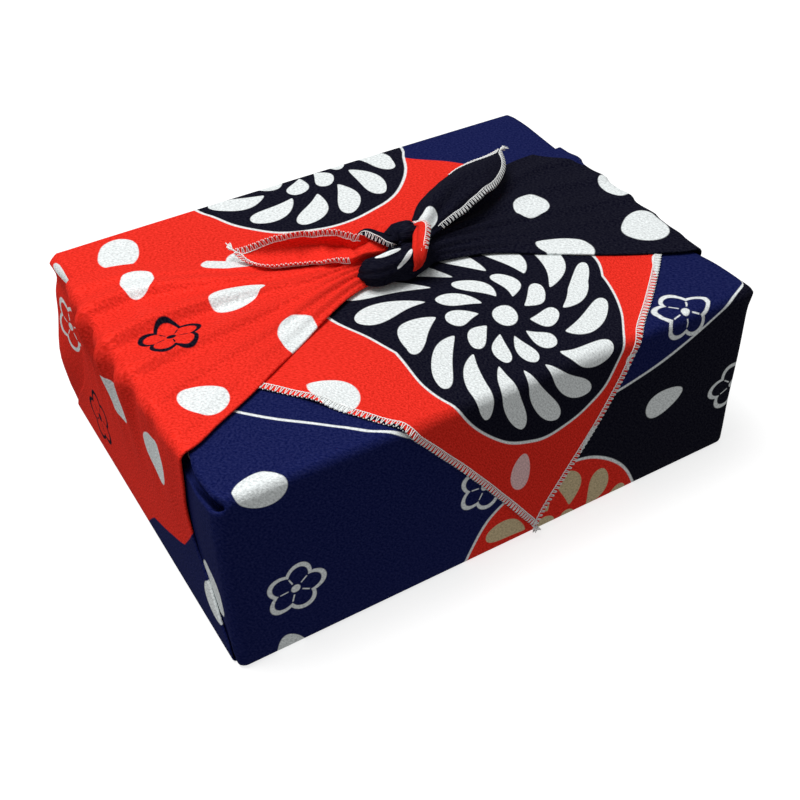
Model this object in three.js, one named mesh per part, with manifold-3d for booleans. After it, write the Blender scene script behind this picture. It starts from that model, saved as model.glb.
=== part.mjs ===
// Fabric gift wrap: one hemmed square of crepe folded corner over corner round an oblong
// gift box and tied on top with a reef knot. The box itself is not part of it, so the
// wrap is a hollow of cloth. Millimetres, +Z up. The origin is the middle of the
// underside, X runs along the long side, and the far corner hangs down the -Y side.
import * as THREE from 'three';
import Module from 'manifold-3d';

const wasm = await Module();
wasm.setup();
const { lerp, smoothstep, clamp } = THREE.MathUtils;

// ---------- driving dimensions ----------
const parcel = { long: 280, deep: 205 };          // outside of the walls
const half = { x: parcel.long / 2, y: parcel.deep / 2 };
const thick = 1;                                   // the sheet, with its hem and nap
const step = thick + 0.4;                          // from one layer's middle to the next
const lap = 0.3;                                   // a side panel stands this far proud
const round = { upright: 8, edge: 5 };             // upright corners; top and bottom edges
const top = { near: 95.6, far: 97, tail: 99.9 };   // middles of the sheets on the top
const tray = { high: 9, thin: 0.04 };              // the underside's turned-up edge
const ear = { reach: 75, from: 4, under: 28, tuck: 11, round: 1.5, fold: 60 };   // folded corners
const ridge = { below: 30, start: 0.8, end: 4.5, lift: 4 };   // gathers, from base to knot
const lip = { bend: 0.7, turn: 0.02, wide: 12, share: 0.1 };  // a tail's edges turned under
const cornerTip = { out: 4.5, wide: 5, from: 72 };
const sliver = 0.02;                               // joins leave nothing finer than this
const hair = 1e-9;                                 // less than any real distance
const cloth = { colour: 0xd9301f, roughness: 0.82, metalness: 0 };

// The two flaps, from the end of the top edge each starts at: distance, and its two sides.
const nearRows = [
  { along: 0, left: -138, right: 138 },
  { along: 21, left: -139, right: 139 },
  { along: 43, left: -133, right: 133 },
  { along: 149, left: -133, right: 133 },
  { along: 192, left: -90, right: 90 },
];
const farRows = [
  { along: 0, left: -134, right: 134 },
  { along: 92, left: -134, right: 134 },
  { along: 142, left: -96, right: 134 },
  { along: 182, left: -68, right: 93 },
  { along: 199, left: -56, right: 73 },
  { along: 242, left: -21, right: 49.5 },
  { along: 293, left: 20, right: 23 },
];
// A side panel and its tail: distance up the wall and over the top, and its two folds.
const leftRows = [
  { along: 5, front: -99, back: 99 },
  { along: 44, front: -67, back: 67 },
  { along: 70, front: -64, back: 67 },
  { along: 103, front: -69, back: 73 },
  { along: 130, front: -54, back: 67 },
  { along: 160, front: -37, back: 52 },
  { along: 195, front: -16, back: 29 },
  { along: 219, front: -5, back: 14 },
];
const rightRows = [
  { along: 5, front: -99, back: 99 },
  { along: 44, front: -66, back: 64 },
  { along: 70, front: -63, back: 58 },
  { along: 103, front: -64, back: 51 },
  { along: 130, front: -49, back: 50 },
  { along: 160, front: -33, back: 38 },
  { along: 195, front: -14, back: 22 },
  { along: 219, front: -5, back: 14 },
];
// Soft ridges that run up each tail into the knot: place across it, width, share of height.
const leftRidges = [
  { at: 0.18, wide: 0.11, share: 0.8 },
  { at: 0.4, wide: 0.12, share: 1 },
  { at: 0.63, wide: 0.1, share: 0.8 },
  { at: 0.83, wide: 0.1, share: 0.7 },
];
const rightRidges = [
  { at: 0.17, wide: 0.11, share: 0.7 },
  { at: 0.42, wide: 0.12, share: 0.9 },
  { at: 0.66, wide: 0.1, share: 1 },
  { at: 0.84, wide: 0.09, share: 0.6 },
];
// The free ends: share of the way to the tip, each edge's offset to the right of that
// line and its height, and how far the middle is hollowed, or arched where less than 0.
const leftEnd = {
  root: [-6, 2], tip: [-64, 45.5],
  rows: [
    { along: 0.02, right: 6, left: -3, rightZ: 112, leftZ: 107, hollow: 0 },
    { along: 0.15, right: 10, left: -4, rightZ: 112.5, leftZ: 105.5, hollow: 1 },
    { along: 0.34, right: 9.5, left: -6, rightZ: 112, leftZ: 104.5, hollow: 3 },
    { along: 0.53, right: 4.5, left: -9, rightZ: 110, leftZ: 104, hollow: 3.5 },
    { along: 0.72, right: 2.5, left: -11, rightZ: 108, leftZ: 103.5, hollow: 2 },
    { along: 0.9, right: 1.2, left: -5.5, rightZ: 105.5, leftZ: 103, hollow: 0.8 },
    { along: 1, right: 0.7, left: -0.7, rightZ: 104, leftZ: 103.7, hollow: 0 },
  ],
};
const rightEnd = {
  root: [8, 4], tip: [99.6, 52.5],
  rows: [
    { along: 0.04, right: 5, left: -5, rightZ: 109, leftZ: 112, hollow: 0 },
    { along: 0.2, right: 13, left: -8, rightZ: 106.5, leftZ: 109, hollow: -3 },
    { along: 0.32, right: 15, left: -9.3, rightZ: 105.5, leftZ: 106.5, hollow: -5 },
    { along: 0.48, right: 17.4, left: -9, rightZ: 104.5, leftZ: 104.5, hollow: -5.5 },
    { along: 0.64, right: 18, left: -6.3, rightZ: 104, leftZ: 104, hollow: -5 },
    { along: 0.79, right: 15, left: -2, rightZ: 104.5, leftZ: 105, hollow: -3 },
    { along: 0.91, right: 8.7, left: -1, rightZ: 106, leftZ: 106.5, hollow: -1 },
    { along: 1, right: 0.7, left: -0.7, rightZ: 108, leftZ: 108.3, hollow: 0 },
  ],
};
// The two gathered strands of the knot: each comes from its tail, bends back round the
// other and leaves on its own side, and is this wide from its middle to its skin.
const rightStrand = [
  { x: 48, y: 0, z: 103, wide: 2 },
  { x: 34, y: -1, z: 104.5, wide: 5 },
  { x: 23, y: -3, z: 105.5, wide: 7 },
  { x: 10, y: -6, z: 107, wide: 8 },
  { x: -4, y: -7, z: 107.5, wide: 8.5 },
  { x: -14, y: -4, z: 107.5, wide: 7.5 },
  { x: -16, y: 2, z: 109, wide: 6.5 },
  { x: -9, y: 4, z: 113, wide: 6.5 },
  { x: 1, y: 3, z: 114, wide: 6.5 },
  { x: 11, y: 4, z: 112, wide: 6.5 },
  { x: 20, y: 8, z: 110, wide: 6 },
  { x: 29, y: 12, z: 108, wide: 4.5 },
  { x: 38, y: 17, z: 107, wide: 1.5 },
];
const leftStrand = [
  { x: -48, y: 7, z: 103, wide: 1.5 },
  { x: -35, y: 4, z: 104, wide: 4.5 },
  { x: -22, y: 2, z: 104, wide: 6 },
  { x: -8, y: 0, z: 104, wide: 6.5 },
  { x: 6, y: -5, z: 104, wide: 6.5 },
  { x: 15, y: -8, z: 107, wide: 6.5 },
  { x: 19, y: -3, z: 112, wide: 6.5 },
  { x: 15, y: 3, z: 114.5, wide: 6 },
  { x: 6, y: 6, z: 111, wide: 6 },
  { x: -5, y: 6, z: 109, wide: 6 },
  { x: -16, y: 10, z: 108.5, wide: 4.5 },
  { x: -26, y: 16, z: 106, wide: 1.5 },
];

// ---------- lengths worked out from them ----------
const quarter = Math.PI / 2;
const skin = thick / 2;                            // inset of an outer sheet's middle
const run = { front: half.x - round.upright, side: half.y - round.upright };
const bend = round.upright * quarter;              // length round an upright corner
const overEdge = round.edge * quarter;             // length over a top edge
const sideMiddle = run.front + bend + run.side;    // from the front's middle to a side's
const rise = { near: top.near - round.edge, far: top.far - round.edge, tail: top.tail - round.edge };
const flat = { start: half.y - skin - round.edge };   // where each flap lies level, in Y

// ---------- helpers ----------
// Reads a column of a table between its rows.
function read(rows, key, at) {
  const found = rows.findIndex((row) => row.along >= at);
  const next = found < 0 ? rows.length - 1 : Math.max(found, 1);
  const [a, b] = [rows[next - 1], rows[next]];
  return lerp(a[key], b[key], clamp((at - a.along) / (b.along - a.along), 0, 1));
}

// Even stops from one break point to the next: [from, to, parts], ...
function stops(...runs) {
  const list = [runs[0][0]];
  for (const [from, to, parts] of runs) {
    for (let i = 1; i <= parts; i += 1) list.push(lerp(from, to, i / parts));
  }
  return list;
}

// The ring round the walls: p runs from the front's middle, plus to the right.
function ring(p, inset) {
  const way = Math.sign(p) || 1;
  const radius = round.upright - inset;
  let q = Math.abs(p);
  if (q <= run.front) return [way * q, inset - half.y];
  q -= run.front;
  if (q <= bend) {
    const turn = q / round.upright;
    return [way * (run.front + radius * Math.sin(turn)), -run.side - radius * Math.cos(turn)];
  }
  q -= bend;
  if (q <= 2 * run.side) return [way * (half.x - inset), q - run.side];
  q -= 2 * run.side;
  if (q <= bend) {
    const turn = q / round.upright;
    return [way * (run.front + radius * Math.cos(turn)), run.side + radius * Math.sin(turn)];
  }
  return [way * (run.front - q + bend), half.y - inset];
}

// Up a wall and over its top edge: length s along the cloth gives the distance in from
// the wall and the height.
function climb(s, height) {
  const turn = clamp((s - height + round.edge) / round.edge, 0, quarter);
  const level = Math.max(s - height + round.edge - overEdge, 0);
  return {
    inward: round.edge * (1 - Math.cos(turn)) + level,
    z: Math.min(s, height - round.edge) + round.edge * Math.sin(turn),
    level,
  };
}

// A Manifold from vertex and triangle lists, leaving out vertices that nothing uses.
function solid(verts, tris) {
  const number = new Map();
  const used = [];
  const triVerts = Uint32Array.from(tris, (old) => {
    if (!number.has(old)) {
      number.set(old, number.size);
      used.push(verts[3 * old], verts[3 * old + 1], verts[3 * old + 2]);
    }
    return number.get(old);
  });
  const vertProperties = Float32Array.from(used);
  return new wasm.Manifold(new wasm.Mesh({ numProp: 3, vertProperties, triVerts }));
}

// A closed sheet from a grid and the cells to keep: two skins half the thickness either
// side of the middle surface, and a rim along every free edge.
function sheet(us, vs, place, keep = () => true) {
  const small = 1e-3;
  const point = (u, v) => new THREE.Vector3(...place(u, v));
  const slope = (u, v, du, dv) => point(u + du, v + dv).sub(point(u - du, v - dv));
  const verts = [];
  for (const side of [skin, -skin]) {
    for (const v of vs) {
      for (const u of us) {
        const normal = slope(u, v, small, 0).cross(slope(u, v, 0, small)).normalize();
        verts.push(...point(u, v).addScaledVector(normal, side));
      }
    }
  }
  const cols = us.length;
  const layer = cols * vs.length;
  const kept = (i, j) => i >= 0 && j >= 0 && i < cols - 1 && j < vs.length - 1
    && keep((us[i] + us[i + 1]) / 2, (vs[j] + vs[j + 1]) / 2);
  const tris = [];
  const rim = (a, b) => tris.push(a, a + layer, b + layer, a, b + layer, b);
  for (let j = 0; j < vs.length - 1; j += 1) {
    for (let i = 0; i < cols - 1; i += 1) {
      if (!kept(i, j)) continue;
      const a = j * cols + i;
      const [b, c, d] = [a + 1, a + cols + 1, a + cols];
      tris.push(a, b, c, a, c, d);
      tris.push(a + layer, c + layer, b + layer, a + layer, d + layer, c + layer);
      if (!kept(i, j - 1)) rim(a, b);
      if (!kept(i + 1, j)) rim(b, c);
      if (!kept(i, j + 1)) rim(c, d);
      if (!kept(i - 1, j)) rim(d, a);
    }
  }
  return solid(verts, tris);
}

// A closed stack of like rings of points, flat at both ends.
function stack(rings) {
  const sides = rings[0].length;
  const last = (rings.length - 1) * sides;
  const tris = [];
  for (let i = 0; i < sides; i += 1) {
    const next = (i + 1) % sides;
    for (let j = 0; j < last; j += sides) {
      tris.push(j + i, j + next, j + next + sides, j + i, j + next + sides, j + i + sides);
    }
    if (i > 0 && next > 0) tris.push(0, next, i, last, last + i, last + next);
  }
  return solid(rings.flat(2), tris);
}

// A gathered strand: a round section with shallow flutes, carried along a smooth path.
function strand(rows, sides = 12, steps = 26) {
  const path = new THREE.CatmullRomCurve3(rows.map(({ x, y, z }) => new THREE.Vector3(x, y, z)));
  const { normals, binormals } = path.computeFrenetFrames(steps);
  const rings = [];
  for (let j = 0; j <= steps; j += 1) {
    const centre = path.getPointAt(j / steps);
    const at = path.getUtoTmapping(j / steps) * (rows.length - 1);
    const before = Math.min(Math.floor(at), rows.length - 2);
    const wide = lerp(rows[before].wide, rows[before + 1].wide, at - before);
    rings.push(Array.from({ length: sides }, (_, i) => {
      const angle = (i / sides) * 2 * Math.PI;
      const radius = wide * (i % 2 ? 0.86 : 1);
      return centre.clone()
        .addScaledVector(normals[j], radius * Math.cos(angle))
        .addScaledVector(binormals[j], radius * Math.sin(angle)).toArray();
    }));
  }
  return stack(rings);
}

// ---------- the cloth, part by part ----------
// The underside with its edges turned up, flat where it rests.
function underside() {
  const around = stops([-2 * sideMiddle, -2 * sideMiddle + run.front, 1],
    [-sideMiddle - run.side - bend, -sideMiddle - run.side, 3],
    [-sideMiddle - run.side, -sideMiddle + run.side, 1],
    [-run.front - bend, -run.front, 3], [-run.front, run.front, 1],
    [run.front, run.front + bend, 3],
    [sideMiddle - run.side, sideMiddle + run.side, 1],
    [sideMiddle + run.side, sideMiddle + run.side + bend, 3]);
  const dish = (inset, base, high) => stack([0, 1, 2, 3, 4].map((i) => {
    const turn = (i / 3) * quarter;
    const radius = round.edge - inset;
    const level = i < 4 ? base + radius * (1 - Math.cos(turn)) : high;
    const drawn = i < 4 ? inset + radius * (1 - Math.sin(turn)) : inset;
    return around.map((p) => [...ring(p, drawn), level]);
  }));
  return dish(tray.thin, 0, tray.high).subtract(dish(thick - tray.thin, thick, tray.high + 1));
}

// How far the folded ears lie in, under the side panels that cover them.
function earInset(p) {
  const far = run.front + bend;
  return skin + step * smoothstep(Math.abs(p), far + ear.from, far + ear.under);
}

// A small point of cloth that stands out at the upper right corner of the front.
function cornerPoint(p, s) {
  const away = (p - run.front - bend) / cornerTip.wide;
  return cornerTip.out * Math.exp(-away * away) * smoothstep(s, cornerTip.from, rise.near);
}

// A wall with its ears, and past the top edge its flap, spread to its own outline. The
// cloth between an ear and the flap folds from one's edge to the other's, drawn in
// behind the ear as a tuck where inward is more than 0.
function wallPlace(p, s, { height, rows, inward, point }) {
  const start = height - round.edge;
  const way = Math.sign(p) || 1;
  const [past, above] = [Math.abs(p) - run.front, s - start];
  if (past > 0 && above > 0) {
    const away = past + above;
    const flap = wallPlace(way * run.front, start + away, { height, rows });
    const wall = wallPlace(way * (run.front + away), start, { height, rows, point });
    const part = past / away;
    const sag = inward * smoothstep(away, 0, ear.under) * 4 * part * (1 - part);
    const outward = [way * Math.sin(Math.PI / 6), 0, Math.cos(Math.PI / 6)];
    return flap.map((value, k) => lerp(value, wall[k], part) - sag * outward[k]);
  }
  const over = climb(s, height);
  if (past > 0) return [...ring(p, earInset(p) - (point ? point(p, s) : 0)), over.z];
  const edge = Math.abs(read(rows, p < 0 ? 'left' : 'right', over.level));
  const spread = lerp(1, edge / run.front, smoothstep(over.inward, 0, round.edge));
  return [p * spread, skin + over.inward - half.y, over.z];
}

const front = { height: top.near, rows: nearRows, inward: ear.tuck, point: cornerPoint };
const back = { height: top.far, rows: farRows.slice(0, 2), inward: -ear.round };
const frontPlace = (p, s) => wallPlace(p, s, front);

// The far flap crosses the top, turns down over the near flap's edge and hangs in front.
function backPlace(p, s) {
  const { level } = climb(s, top.far);
  if (level === 0 || Math.abs(p) > run.front) {
    const [x, y, z] = wallPlace(p, s, back);
    return [x, -y, z];
  }
  const [left, right] = [read(farRows, 'left', level), read(farRows, 'right', level)];
  const past = level - 2 * flat.start;
  const radius = round.edge + step;
  const turn = clamp(past / radius, 0, quarter);
  const drop = Math.max(past - radius * quarter, 0);
  return [
    lerp(left, right, (p / run.front + 1) / 2),
    flat.start - Math.min(level, 2 * flat.start) - radius * Math.sin(turn),
    top.far - radius * (1 - Math.cos(turn)) - drop,
  ];
}

function wallColumns(middle) {
  const far = run.front + bend;
  return stops([-far - ear.reach, -far - 28, 2], [-far - 28, -far, 3], [-far, -run.front, 3],
    [-run.front, run.front, middle], [run.front, far, 3], [far, far + 28, 3],
    [far + 28, far + ear.reach, 2]);
}

// Which part of a wall's grid is cloth: all but the far part of each folded corner.
function isCloth(p, s, start) {
  const past = Math.max(Math.abs(p) - run.front, 0);
  return past === 0 || s < start || past + s - start < ear.fold;
}

function nearSheet() {
  const start = rise.near + overEdge;
  const rows = stops([round.edge, rise.near, 5], [rise.near, start, 3],
    [start, start + 50, 5], [start + 50, start + 192, 5]);
  return sheet(wallColumns(8), rows, frontPlace, (p, s) => isCloth(p, s, rise.near));
}

function farSheet() {
  const start = rise.far + overEdge;
  const brink = start + 2 * flat.start;
  const turned = brink + (round.edge + step) * quarter;
  const rows = stops([round.edge, rise.far, 5], [rise.far, start, 3], [start, start + 50, 4],
    [start + 50, brink, 7], [brink, turned, 4], [turned, start + 293, 6]);
  return sheet(wallColumns(10), rows, backPlace, (p, s) => isCloth(p, s, rise.far));
}

// A side panel climbs its wall, turns over the top edge and narrows to the knot as a
// tail, gathered into ridges, with both of its long edges turned under.
function panel(way, rows, ridges) {
  const far = rows.at(-1).along;
  const start = rise.tail + overEdge;
  const place = (u, s) => {
    const { inward, z, level } = climb(s, top.tail);
    const inside = clamp(u, 0, 1);
    const [front, back] = [read(rows, 'front', s), read(rows, 'back', s)];
    const across = lerp(front, back, inside);
    const share = smoothstep(s, rise.tail - ridge.below, far);
    const profile = ridges.reduce((sum, { at, wide, share: part }) => {
      const away = (inside - at) / wide;
      return sum + part * Math.exp(-away * away);
    }, 0);
    const begun = ridge.start * smoothstep(s, rise.tail - ridge.below, start);
    const gathers = profile * lerp(begun, ridge.end, share * share);
    if (level === 0) {
      const [x, y] = ring(way * (sideMiddle + across), skin - lap + inward - gathers);
      return [x, y, z];
    }
    const past = Math.max(Math.abs(u - inside) - hair, 0);
    const turn = Math.min(past / lip.turn, 1) * Math.PI;
    const under = Math.max(past - lip.turn, 0) / lip.share * lip.wide;
    const outward = (u < 0 ? -1 : 1) * (lip.bend * Math.sin(turn) - under);
    return [
      way * (half.x - skin + lap - inward),
      across + (past > 0 ? outward : 0),
      z + gathers + ridge.lift * share * share - lip.bend * (1 - Math.cos(turn)),
    ];
  };
  const [bent, edge] = [lip.turn, lip.turn + lip.share];
  const us = stops([-edge, -bent, 1], [-bent, 0, 2], [0, 1, 12], [1, 1 + bent, 2],
    [1 + bent, 1 + edge, 1]);
  const vs = stops([round.edge, 44, 3], [44, 70, 2], [70, rise.tail, 2], [rise.tail, start, 3],
    [start, far, 7]);
  return sheet(us, vs, place, (u, s) => (u > 0 && u < 1) || s > start);
}

// A free end: a corner of the cloth, cupped between its two hemmed edges.
function freeEnd({ root, tip, rows }) {
  const axis = new THREE.Vector2(tip[0] - root[0], tip[1] - root[1]);
  const unit = axis.clone().normalize();
  const place = (u, v) => {
    const out = lerp(read(rows, 'left', v), read(rows, 'right', v), u);
    const height = lerp(read(rows, 'leftZ', v), read(rows, 'rightZ', v), u);
    return [
      root[0] + axis.x * v + unit.y * out,
      root[1] + axis.y * v - unit.x * out,
      height - 4 * u * (1 - u) * read(rows, 'hollow', v),
    ];
  };
  return sheet(stops([0, 1, 8]), stops([rows[0].along, 1, 10]), place);
}

function wrapCloth() {
  const parts = [
    underside(),
    nearSheet(),
    farSheet(),
    panel(-1, leftRows, leftRidges),
    panel(1, rightRows, rightRidges),
    strand(leftStrand),
    strand(rightStrand),
    freeEnd(leftEnd),
    freeEnd(rightEnd),
  ];
  const whole = parts.reduce((sum, part) => sum.add(part)).simplify(sliver);
  return whole.decompose().find((shell) => shell.volume() > 0);
}

const { vertProperties, triVerts } = wrapCloth().getMesh();
const geometry = new THREE.BufferGeometry();
geometry.setAttribute('position', new THREE.BufferAttribute(vertProperties, 3));
geometry.setIndex(new THREE.BufferAttribute(triVerts, 1));
geometry.computeVertexNormals();
const material = new THREE.MeshStandardMaterial({
  color: cloth.colour, roughness: cloth.roughness, metalness: cloth.metalness,
});
const wrap = new THREE.Mesh(geometry, material);
wrap.name = 'wrap_cloth';

const model = new THREE.Group();
model.add(wrap);
export default model;
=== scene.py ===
"""Fabric gift wrap: a square of printed crepe folded corner over corner round an oblong box
and tied on top with a reef knot. The box isn't part of it, so the wrap is hollow.

Shapes are worked out in millimetres and become metres in the meshes. +X runs along the long
side, +Z is up, and the far corner of the cloth comes over the top and hangs down the -Y side.
Every part of the cloth knows where it lies on the flat square, and the print reads that.
"""

import bpy
import numpy as np
from mathutils import Matrix, Vector


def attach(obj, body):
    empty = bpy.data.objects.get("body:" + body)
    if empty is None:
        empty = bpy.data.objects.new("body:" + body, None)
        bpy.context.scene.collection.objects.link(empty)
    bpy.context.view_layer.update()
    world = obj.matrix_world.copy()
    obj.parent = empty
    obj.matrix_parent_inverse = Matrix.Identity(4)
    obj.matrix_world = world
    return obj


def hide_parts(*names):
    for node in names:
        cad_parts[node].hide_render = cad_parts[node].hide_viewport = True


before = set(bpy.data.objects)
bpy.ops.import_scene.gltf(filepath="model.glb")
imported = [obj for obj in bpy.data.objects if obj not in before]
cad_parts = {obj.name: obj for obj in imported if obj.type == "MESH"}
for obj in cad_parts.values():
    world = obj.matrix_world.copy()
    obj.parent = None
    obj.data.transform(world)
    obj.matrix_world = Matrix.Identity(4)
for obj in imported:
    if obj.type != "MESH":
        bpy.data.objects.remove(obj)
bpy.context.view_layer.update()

# ---------- sizes, in millimetres ----------
MM = 0.001
CUT = 700.0                             # side of the square
TIP = CUT / 2**0.5                      # from its middle to a corner
GAUGE = 0.5                             # thickness of the crepe
LAYER = 0.8                             # from one layer's middle to the next
HALF_X, HALF_Y = 139.7, 102.2           # middle of the cloth on the walls
ROUND = 5.5                             # radius of the upright corners
EDGE, LOW = 3.8, 3.0                    # radius of the top edges and of the bottom ones
NEAR_TOP, FAR_TOP, TAIL_TOP = 96.0, 97.1, 98.5
BASE = GAUGE / 2 + 0.02                 # middle of the cloth on the underside
REACH = 92.0                            # how far a folded corner runs along a side wall
GUSSET = 84.0                           # how far it runs in under a side panel, at the top
LIP, KNOT_LIP = 42.0, 9.0               # how far a panel's sides are turned under, low and high
SLACK = 4.0                             # length of the far flap that its waves take up
HEM_FROM = 120.0                        # along the far flap, where its stitches begin
KNOT_REACH = 345.0                      # how far from the middle of the square the knot is

QUARTER = np.pi / 2
RUN_X, RUN_Y = HALF_X - ROUND, HALF_Y - ROUND
BEND = ROUND * QUARTER                  # length round an upright corner
FAR_P = RUN_X + BEND                    # where a side wall begins, along the ring
FOOT = LOW - LOW * QUARTER              # so that length up a wall is its height
OVER = EDGE * QUARTER                   # length over a top edge

# How far the parcel's eight corners stand from a true box, across and back.
SKEW = {
    "low": dict(near_left=(-2.6, -6.4), near_right=(1.9, -3.2),
                far_left=(-3.4, 2), far_right=(2, 2)),
    "top": dict(near_left=(-0.6, 1.2), near_right=(4, -0.5),
                far_left=(-0.2, 1.9), far_right=(5, 3.4)),
}
# The far left top corner is loose: which way it stands off, and the length that it takes in.
LOOSE_WAY, LOOSE_LENGTH = (-1.6, 0.8, -0.3), 7


def table(columns, *rows):
    """Rows of numbers, each number under its column's name."""
    return [dict(zip(columns.split(), row)) for row in rows]


# The two flaps: distance in over the top, and where their two sides lie.
NEAR_FLAP = table(
    "along left right",
    (0, -137.5, 137.5), (20, -137.5, 138), (36, -133, 135), (52, -129, 131),
    (150, -129, 131), (192, -92, 92),
)
FAR_FLAP = table(
    "along left right",
    (0, -135, 136), (60, -135, 135), (105, -131, 135), (142, -97, 131),
    (160, -81.5, 115), (182, -67.5, 92), (199, -55, 73), (220, -38, 61.5),
    (242, -20, 50), (266, -2, 33.5), (290.5, 16, 17),
)
# A side panel and its tail: length up the wall and over the top, and its two folds.
LEFT_PANEL = table(
    "along front back",
    (FOOT, -RUN_Y, RUN_Y), (LOW, -96, 96), (20, -86, 84), (32, -78, 74),
    (44, -69.5, 69), (60, -65, 66), (85, -68, 70), (103, -68, 72.5),
    (118, -60, 72), (140, -48.5, 64), (165, -34, 49.5), (190, -19.5, 31),
    (212, -9, 17), (226, -6.5, 12.5),
)
RIGHT_PANEL = table(
    "along front back",
    (FOOT, -RUN_Y, RUN_Y), (LOW, -96, 96), (20, -85, 82), (32, -76, 72),
    (44, -67, 64), (60, -63, 60), (85, -63, 56), (103, -63, 51),
    (118, -56.5, 52.5), (140, -45, 50), (165, -29, 40), (190, -14, 25),
    (212, -8, 14), (226, -6.5, 10.5),
)
# Folds that run up a tail into the knot: place across it at the knot and at the box's
# edge, as shares of its width; half-width, also a share; height at the knot and, as far, at
# the box's edge; and how much cloth is hidden in it.
LEFT_FOLDS = table(
    "knot edge wide high far hidden",
    (0.12, 0.09, 0.040, 1.3, 1.0, 3), (0.26, 0.23, 0.036, 2.6, 2.0, 8),
    (0.38, 0.41, 0.045, 2.2, 3.8, 5), (0.53, 0.60, 0.045, 3.0, 5.4, 9),
    (0.72, 0.78, 0.045, 2.2, 4.6, 5), (0.86, 0.91, 0.034, 2.2, 2.0, 6),
)
RIGHT_FOLDS = table(
    "knot edge wide high far hidden",
    (0.12, 0.14, 0.040, 1.6, 0.5, 4), (0.28, 0.30, 0.042, 2.7, 0.9, 7),
    (0.45, 0.47, 0.040, 2.4, 1.5, 6), (0.62, 0.68, 0.042, 2.9, 1.6, 8),
    (0.8, 0.86, 0.038, 2.2, 1.7, 5),
)


def gathered(x, y, z, hem, wide, high, curl, turn=0, crease=0):
    """One place along a strand of the knot: the middle of the cloth there; the way from its
    first hem to its second; half its width; the height of its curl, downwards when negative;
    the angle it curls through, near a full turn where it is a closed roll; how far that is
    turned; and how deep a crease runs along it."""
    return dict(x=x, y=y, z=z, sx=hem[0], sy=hem[1], sz=hem[2], wide=wide, high=high, curl=curl,
                turn=turn, crease=crease)


# The two gathered strands of the knot, from under a tail to a free end's tip.
NAVY_STRAND = [
    gathered(32, 2, 100.5, hem=(0, 1, 0), wide=5, high=3, curl=5.9),
    gathered(18, -2, 101.5, hem=(0.2, 1, 0), wide=5.5, high=6, curl=5.9),
    gathered(6, -7, 105, hem=(0.1, 1, 0.1), wide=6.8, high=12, curl=5.9, crease=2),
    gathered(-6, -8, 106.5, hem=(0, 1, 0.3), wide=6.9, high=12.8, curl=5.9, crease=2),
    gathered(-14, -6.5, 105, hem=(0.5, 0.8, 0.2), wide=6.4, high=11.5, curl=5.9, crease=2),
    gathered(-15.5, 1, 101, hem=(1, 0.2, 0), wide=4.2, high=4.5, curl=5.7, crease=1.2),
    gathered(-13, 11, 101, hem=(0.8, -0.5, 0), wide=3.2, high=3.2, curl=5),
    gathered(-10.5, 18, 104.5, hem=(0, -0.9, 0.1), wide=2.6, high=2.2, curl=4.2),
    gathered(-5.4, 18.6, 109, hem=(-0.6, -0.6, -0.4), wide=2.5, high=1.6, curl=3.2, turn=0.3,
             crease=0.4),
    gathered(-2.2, 9.7, 111.4, hem=(-0.75, -0.4, -0.5), wide=2.6, high=1.8, curl=3.4, turn=0.3,
             crease=0.6),
    gathered(1.5, 2.6, 111.6, hem=(-0.7, -0.5, -0.5), wide=3, high=2.6, curl=4, turn=0.1,
             crease=1),
    gathered(5.5, 6.3, 112.6, hem=(0.1, -1, -0.2), wide=6, high=5, curl=5, turn=0.1, crease=2.4),
    gathered(9.5, 3.6, 113, hem=(-0.1, -0.9, -0.4), wide=6.8, high=8.4, curl=5.6, crease=3),
    gathered(14.5, 5, 111, hem=(0.1, -0.9, -0.4), wide=5.6, high=6.5, curl=5.6, crease=1.6),
    gathered(20, 7, 109, hem=(0.2, -0.9, -0.3), wide=6.2, high=5.8, curl=4.2, turn=0.3, crease=1),
    gathered(25.5, 10, 109.2, hem=(0.2, -0.85, -0.5), wide=7.8, high=5.6, curl=3.2, turn=0.4,
             crease=1.2),
    gathered(31, 13, 110, hem=(0.2, -0.9, -0.4), wide=9.6, high=5.6, curl=3.1, turn=0.4,
             crease=1.4),
    gathered(42.5, 18.5, 110.5, hem=(0.1, -1, -0.25), wide=11.8, high=5.8, curl=3.1, turn=0.4,
             crease=1.4),
    gathered(56, 25.5, 110.5, hem=(0.2, -1, -0.15), wide=12.8, high=5.8, curl=2.9, turn=0.3,
             crease=1),
    gathered(70.5, 33, 110.5, hem=(0.33, -0.95, -0.15), wide=11.2, high=4.6, curl=2.4,
             crease=0.4),
    gathered(85, 41, 110.3, hem=(0.6, -0.8, -0.15), wide=6.6, high=2.3, curl=2.1, turn=-0.1),
    gathered(95.8, 50.8, 110, hem=(0.7, -0.7, 0), wide=0.4, high=0.1, curl=2),
]
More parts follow.
